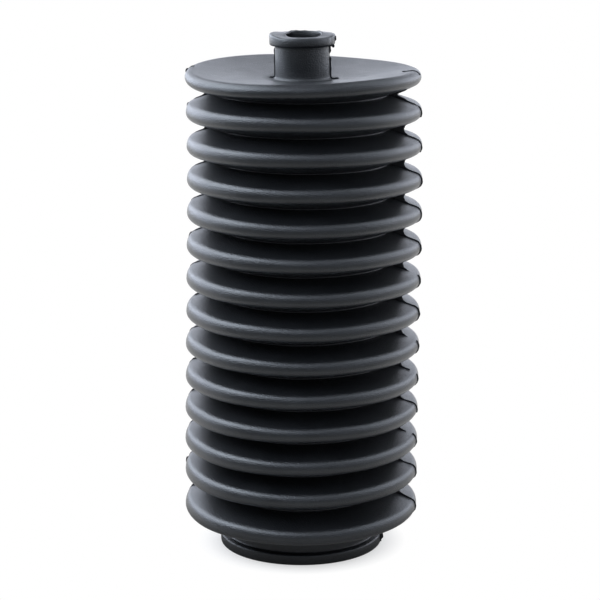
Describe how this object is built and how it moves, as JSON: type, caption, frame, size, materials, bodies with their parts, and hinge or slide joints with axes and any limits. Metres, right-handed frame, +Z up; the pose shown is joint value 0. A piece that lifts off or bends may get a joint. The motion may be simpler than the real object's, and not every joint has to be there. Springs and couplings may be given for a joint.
{
  "type": "steering rack boot",
  "caption": "Long round rubber bellows with a narrow lipped neck at one end and a wide lipped collar at the other, closed over a steering rack's joint.",
  "frame": {"origin": "centre of the collar's foot, on the surface that the boot stands on", "axes": "+Z up along the boot's axis, from the wide collar to the narrow neck; the mould's parting plane runs close to X"},
  "size_m": [0.0746, 0.0746, 0.1648],
  "materials": {
    "rubber": "satin black moulded rubber"
  },
  "bodies": {
    "root": {"rack_boot": "rubber"}
  },
  "joints": []
}
